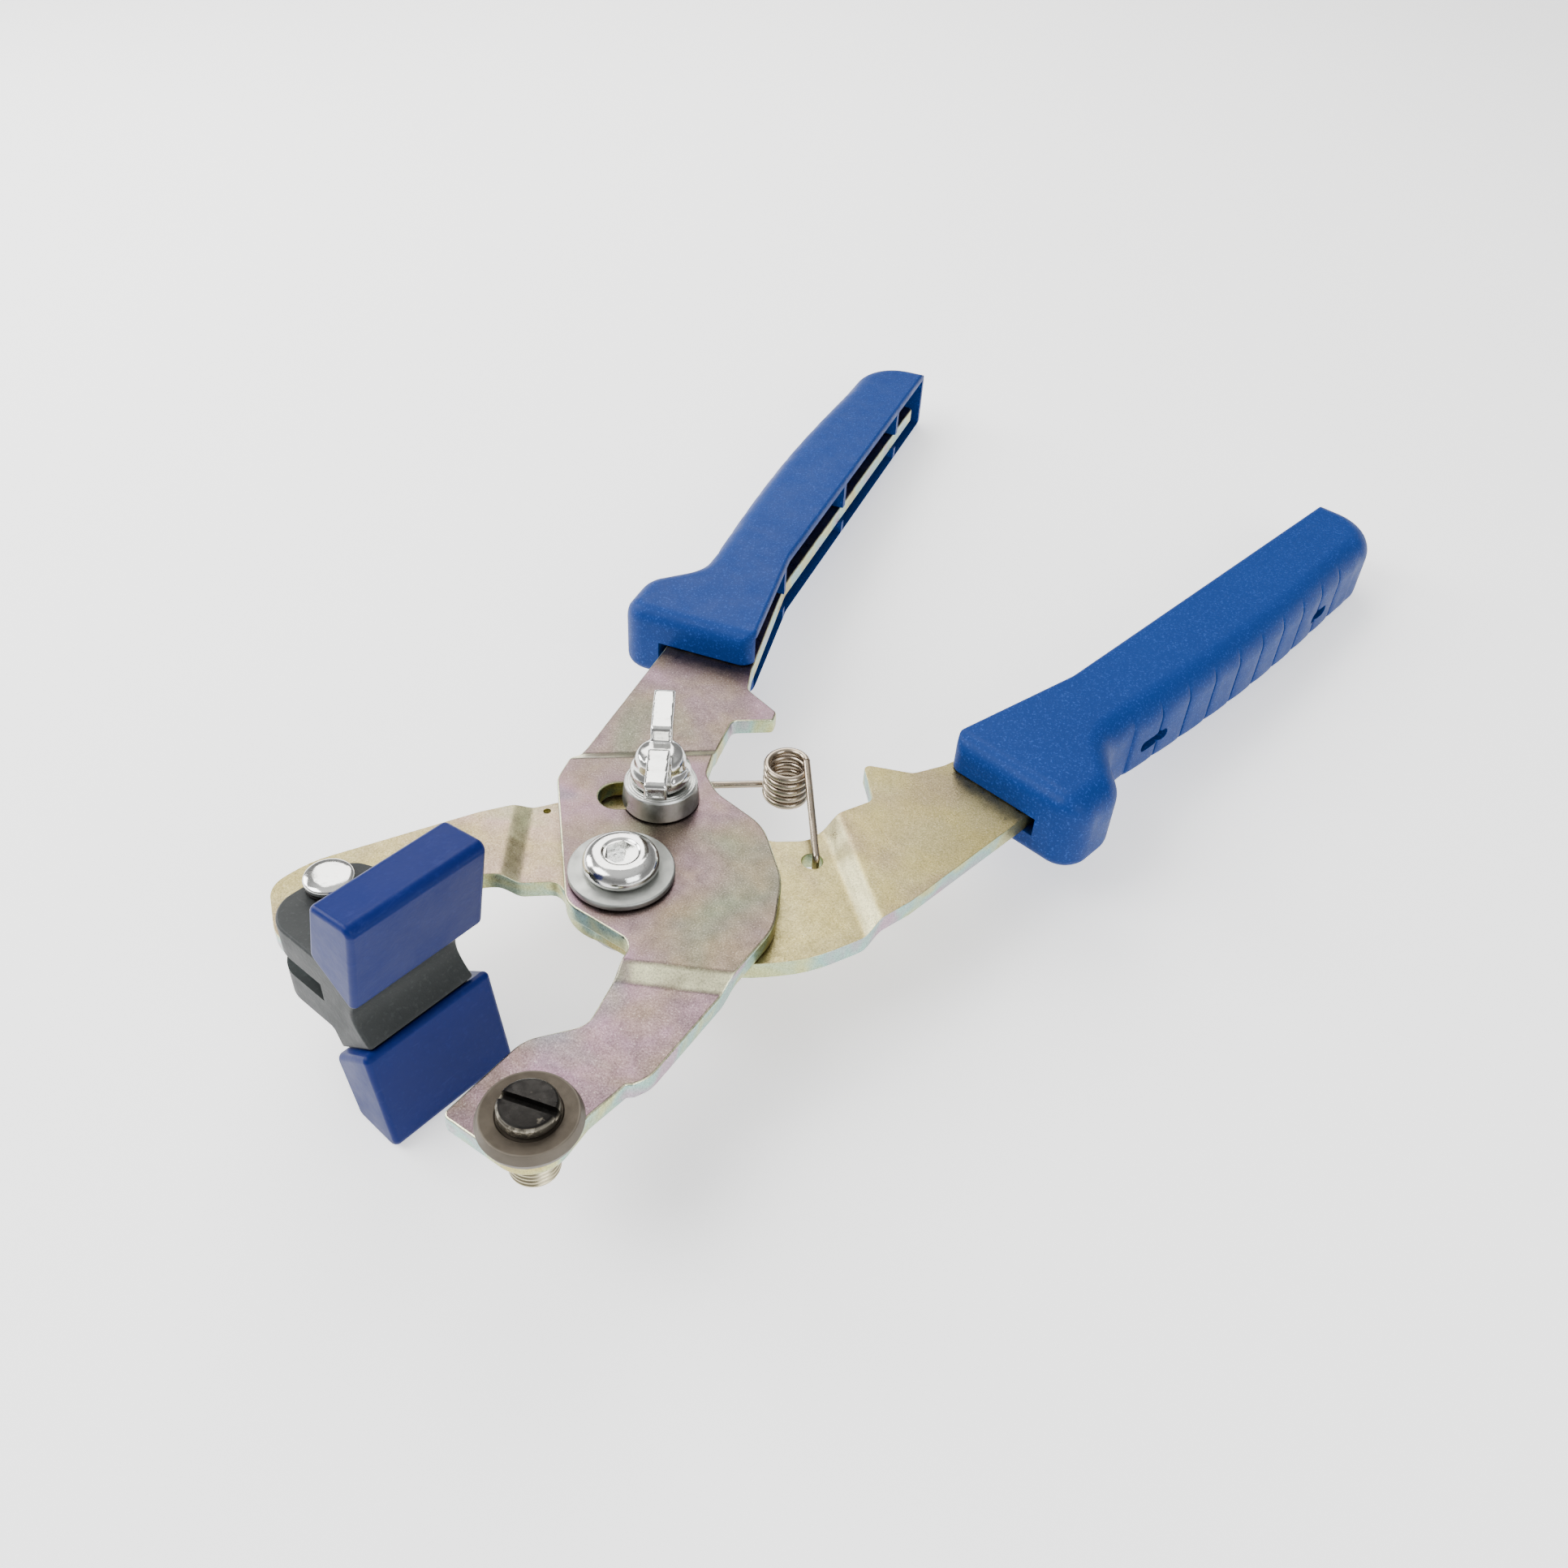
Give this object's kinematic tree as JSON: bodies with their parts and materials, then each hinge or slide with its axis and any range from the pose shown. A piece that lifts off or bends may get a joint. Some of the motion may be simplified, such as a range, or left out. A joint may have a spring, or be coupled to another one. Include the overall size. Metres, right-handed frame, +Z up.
{
  "type": "tile nippers",
  "caption": "Plier-type tile nippers: scoring wheel on one jaw, swivelling padded breaker head on the other, joggled plated levers, torsion spring, wing screw lock and blue grips.",
  "frame": {"origin": "centre of the bounding box in plan, at the lowest point of the lower pad", "axes": "+Y from the jaws to the grip ends along the mirror line of the grips, +Z up out of the plane of the levers, the wheel lever's jaw on the +X side"},
  "size_m": [0.139, 0.2498, 0.0513],
  "materials": {
    "yellow_zinc_plate": "yellow iridescent zinc plating with a fine speckled grain, rolled bright edges",
    "bright_zinc": "turned steel, bright zinc plated",
    "polished_steel": "polished plated steel",
    "blackened_steel": "black oxide, worn bright on the rims",
    "wheel_carbide": "ground grey-bronze carbide, satin",
    "spring_steel": "bright drawn wire",
    "blue_grip_plastic": "fine grained satin moulding",
    "royal_blue_pad": "smooth hard plastic, lightly scuffed",
    "dark_grey_plastic": "dull moulded glass filled plastic"
  },
  "bodies": {
    "wheel_lever": {"wheel_lever": "yellow_zinc_plate", "wheel_lever_grip": "blue_grip_plastic", "pivot_screw": "polished_steel", "pivot_washer": "bright_zinc", "pivot_lower_washer": "bright_zinc", "pivot_lock_nut": "bright_zinc", "wheel_screw": "blackened_steel", "wheel_axle_nut": "yellow_zinc_plate", "torsion_spring": "spring_steel"},
    "breaker_lever": {"breaker_lever": "yellow_zinc_plate", "breaker_lever_grip": "blue_grip_plastic", "lock_collar": "bright_zinc", "lock_lower_washer": "bright_zinc", "lock_nut": "bright_zinc", "head_bolt": "polished_steel", "head_upper_washer": "blackened_steel", "head_lower_washer": "bright_zinc", "head_nut": "bright_zinc"},
    "scoring_wheel": {"scoring_wheel": "wheel_carbide"},
    "breaker_head": {"breaker_block": "dark_grey_plastic", "upper_pad": "royal_blue_pad", "lower_pad": "royal_blue_pad"},
    "wing_screw": {"wing_screw": "polished_steel"}
  },
  "joints": [
    {"name": "lever_pivot", "type": "hinge", "parent": "wheel_lever", "child": "breaker_lever", "pos_m": [-0.0074, -0.07117, 0.02921], "axis": [0, 0, 1], "range_deg": [0, 22], "stiffness_Nm_per_rad": 0.12, "springref_deg": -40.11, "deforming": ["torsion_spring"]},
    {"name": "wheel_spin", "type": "hinge", "parent": "wheel_lever", "child": "scoring_wheel", "pos_m": [0.012, -0.11707, 0.02921], "axis": [0, 0, 1], "continuous": true},
    {"name": "head_swivel", "type": "hinge", "parent": "breaker_lever", "child": "breaker_head", "pos_m": [-0.0399, -0.10387, 0.02921], "axis": [0, 0, 1], "range_deg": [-10, 10]},
    {"name": "wing_turn", "type": "hinge", "parent": "breaker_lever", "child": "wing_screw", "pos_m": [-0.01325, -0.05226, 0.02921], "axis": [0, 0, 1], "continuous": true}
  ]
}
